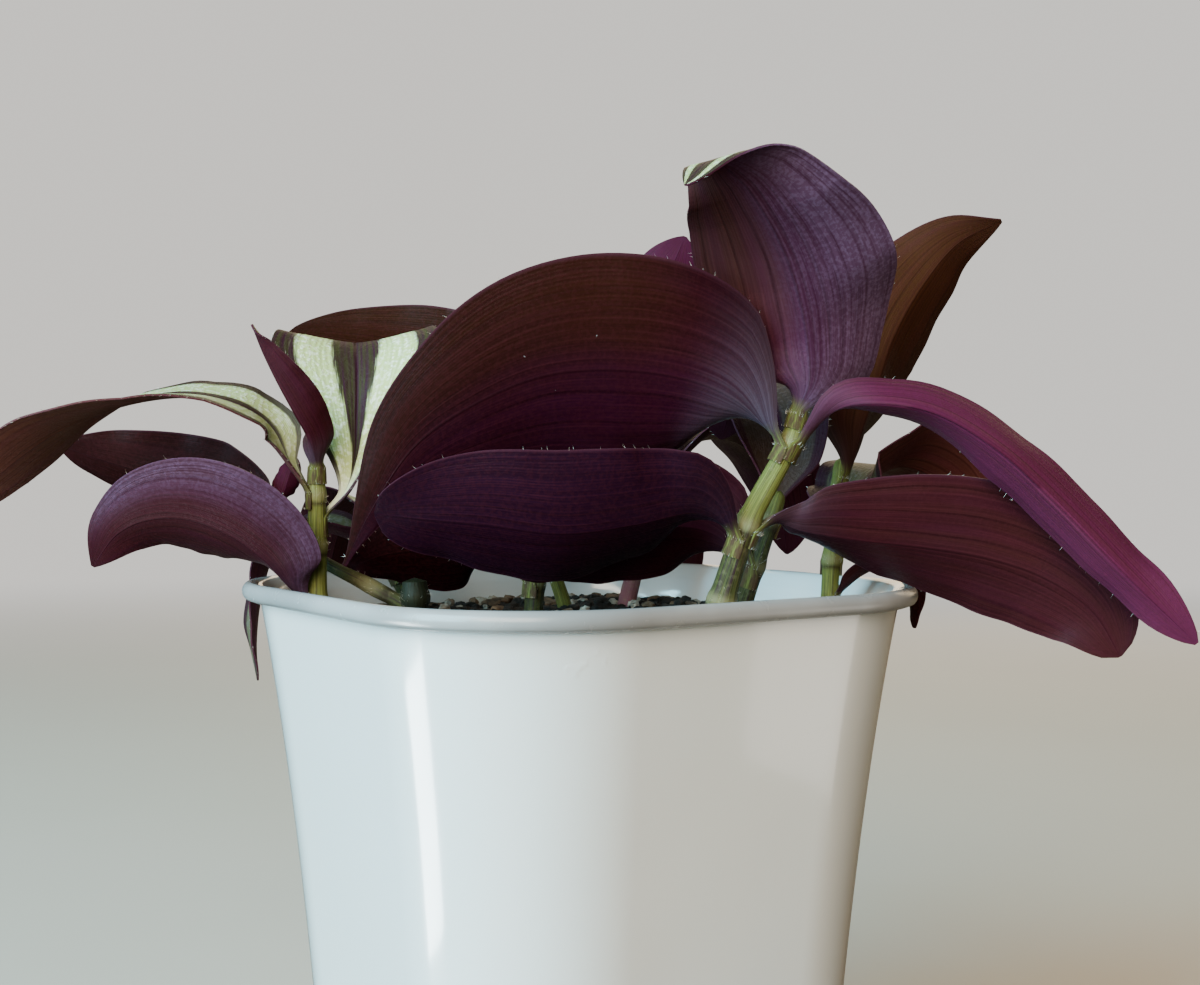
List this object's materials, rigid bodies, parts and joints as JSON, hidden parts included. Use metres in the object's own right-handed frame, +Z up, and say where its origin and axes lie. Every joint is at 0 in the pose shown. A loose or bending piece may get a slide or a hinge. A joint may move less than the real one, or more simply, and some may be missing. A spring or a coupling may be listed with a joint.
{
  "type": "potted tradescantia",
  "caption": "Purple-leaved trailing house plant with upright fleshy stems and arching pointed leaves, planted in a glossy white soft-square pot.",
  "frame": {"origin": "middle of the flat underside of the pot, on the surface that it stands on", "axes": "+Z up, X and Y square to the pot's four flats"},
  "size_m": [0.1887, 0.1811, 0.1776],
  "materials": {
    "pot_plastic": "glossy white, with a greyer, slightly translucent rolled lip",
    "potting_soil": "damp crumbly soil with bark bits and pale grains",
    "stem": "fleshy satin stem, yellow-green with purple streaks and pale joints",
    "leaf": "satin leaf, deep purple underside with a faint silvery sheen, silver-green bands on the upper side"
  },
  "bodies": {
    "root": {"stem_front_right": "stem", "stem_inner_right": "stem", "stem_right": "stem", "stem_front_left": "stem", "stem_stub_left": "stem", "stem_creeper": "stem", "stem_middle": "stem", "stem_back": "stem", "stem_back_right": "stem", "stem_back_left": "stem", "leaf_front_right_1": "leaf", "leaf_front_right_2": "leaf", "leaf_front_right_3": "leaf", "leaf_front_right_4": "leaf", "leaf_front_right_5": "leaf", "leaf_inner_right_1": "leaf", "leaf_inner_right_2": "leaf", "leaf_right_1": "leaf", "leaf_right_2": "leaf", "leaf_right_3": "leaf", "leaf_front_left_1": "leaf", "leaf_front_left_2": "leaf", "leaf_front_left_3": "leaf", "leaf_front_left_4": "leaf", "leaf_creeper_1": "leaf", "leaf_creeper_2": "leaf", "leaf_middle_1": "leaf", "leaf_middle_2": "leaf", "leaf_middle_3": "leaf", "leaf_middle_4": "leaf", "leaf_back_1": "leaf", "leaf_back_2": "leaf", "leaf_back_right_1": "leaf", "leaf_back_right_2": "leaf", "leaf_back_left_1": "leaf", "leaf_back_left_2": "leaf", "pot": "pot_plastic", "soil": "potting_soil"}
  },
  "joints": []
}
